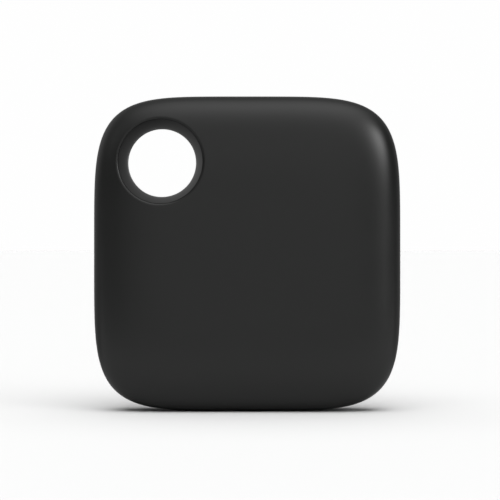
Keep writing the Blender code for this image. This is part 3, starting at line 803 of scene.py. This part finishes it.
def make_floor():
    """White paper under two soft lamps that light only the paper.

    The paper shows white but sends little light back onto the tag; for that light its colour is
    painted: a painted pool of light just before the tag that fades further out, and painted shade
    behind the tag.
    """
    bpy.ops.mesh.primitive_plane_add(size=80.0)
    floor = bpy.context.object
    floor.name = "floor"
    paper = bpy.data.materials.new("floor_paper")
    paper.use_nodes = True
    nodes = paper.node_tree.nodes
    link = paper.node_tree.links.new
    shader = nodes["Principled BSDF"]
    shader.inputs["Roughness"].default_value = 0.9
    where = nodes.new("ShaderNodeNewGeometry")
    split = nodes.new("ShaderNodeSeparateXYZ")
    link(where.outputs["Position"], split.inputs[0])
    # painted light: the paper's colour for light it throws back is a painted pool just before the
    # tag, dimmer further out, with painted shade behind the tag
    pool_and_shade_ramps = []
    for start, end, low, high in [(-0.10, -0.015, 0.11, 0.20), (-0.005, 0.015, 1.0, 0.22)]:
        ramp = nodes.new("ShaderNodeMapRange")
        ramp.inputs["From Min"].default_value = start
        ramp.inputs["From Max"].default_value = end
        ramp.inputs["To Min"].default_value = low
        ramp.inputs["To Max"].default_value = high
        link(split.outputs["Y"], ramp.inputs["Value"])
        pool_and_shade_ramps.append(ramp.outputs[0])
    painted_pool_and_shade = nodes.new("ShaderNodeMath")
    painted_pool_and_shade.operation = "MULTIPLY"
    link(pool_and_shade_ramps[0], painted_pool_and_shade.inputs[0])
    link(pool_and_shade_ramps[1], painted_pool_and_shade.inputs[1])
    # camera rays see the plain white paper; all other rays see the painted pool and painted shade
    path = nodes.new("ShaderNodeLightPath")
    tone = nodes.new("ShaderNodeMapRange")
    tone.inputs["To Max"].default_value = 0.30
    link(painted_pool_and_shade.outputs[0], tone.inputs["To Min"])
    link(path.outputs["Is Camera Ray"], tone.inputs["Value"])
    link(tone.outputs[0], shader.inputs["Base Color"])
    floor.data.materials.append(paper)

    lit = bpy.data.collections.new("floor_only")
    lit.objects.link(floor)
    for name, energy, spread, aim in [("overhead", 4.8, 80.0, (0.0, 0.0, -1.0)),
                                      ("front_fill", 2.9, 60.0, (0.0, 0.5, -1.0))]:
        data = bpy.data.lights.new(name, "SUN")
        data.energy = energy
        data.angle = math.radians(spread)
        lamp = bpy.data.objects.new(name, data)
        lamp.rotation_euler = Vector(aim).to_track_quat("-Z", "Y").to_euler()
        lamp.light_linking.receiver_collection = lit
        bpy.context.scene.collection.objects.link(lamp)


# Softboxes: direction, how narrow, and how bright
SOFTBOXES = [
    # the long box overhead, and the strong one up on the right
    ((0.14, -0.40, 1.0), 5.3, 1.97),
    ((0.75, -0.53, 0.40), 40.0, 7.4),
    # the broad front light that the flat of the face reflects, and its two wings
    ((0.03, -1.0, 0.10), 12.0, 0.74),
    ((0.45, -0.9, 0.05), 16.0, 0.13),
    ((-0.45, -0.9, 0.05), 16.0, 0.10),
    # the left edge, from the front
    ((-0.78, -0.45, 0.42), 30.0, 0.5),
    # from behind: the dish wall, the outline and the upper left rim
    ((0.0, 1.0, 0.0), 1.0, 0.23),
    ((0.0, 1.0, 0.0), 60.0, 0.8),
    ((-0.85, 0.28, 0.45), 8.0, 0.40),
]
ROOM_LIGHT = 0.04
BACKDROP = 0.993


def make_world():
    """Soft light from each softbox's direction, and an even white backdrop behind everything."""
    world = bpy.data.worlds.new("studio")
    bpy.context.scene.world = world
    world.use_nodes = True
    nodes = world.node_tree.nodes
    link = world.node_tree.links.new
    nodes.clear()
    out = nodes.new("ShaderNodeOutputWorld")
    place = nodes.new("ShaderNodeTexCoord")

    def math_node(operation, value, source, third=None):
        """A maths node on source and value, with a third input for a multiply-add."""
        node = nodes.new("ShaderNodeMath")
        node.operation = operation
        link(source, node.inputs[0])
        node.inputs[1].default_value = value
        if third is not None:
            link(third, node.inputs[2])
        return node.outputs[0]

    room = nodes.new("ShaderNodeValue")
    room.outputs[0].default_value = ROOM_LIGHT
    total = room.outputs[0]
    for direction, narrow, bright in SOFTBOXES:
        dot = nodes.new("ShaderNodeVectorMath")
        dot.operation = "DOT_PRODUCT"
        link(place.outputs["Generated"], dot.inputs[0])
        dot.inputs[1].default_value = Vector(direction).normalized()
        facing = math_node("MAXIMUM", 0.0, dot.outputs["Value"])
        lobe = math_node("POWER", narrow, facing)
        total = math_node("MULTIPLY_ADD", bright, lobe, total)
    light = nodes.new("ShaderNodeBackground")
    light.inputs["Color"].default_value = (1, 1, 1, 1)
    link(total, light.inputs["Strength"])
    seen = nodes.new("ShaderNodeBackground")
    seen.inputs["Color"].default_value = (BACKDROP, BACKDROP, BACKDROP, 1)
    path = nodes.new("ShaderNodeLightPath")
    mix = nodes.new("ShaderNodeMixShader")
    link(path.outputs["Is Camera Ray"], mix.inputs[0])
    link(light.outputs[0], mix.inputs[1])
    link(seen.outputs[0], mix.inputs[2])
    link(mix.outputs[0], out.inputs[0])


make_camera()
make_floor()
make_world()
bpy.context.scene.view_settings.view_transform = "Standard"
give_finishes()
front_shell()
rear_cover()
coin_cell()
cover_seal()
inner_frame()
main_board()
battery_contacts()
board_parts()
sounder_and_pad()
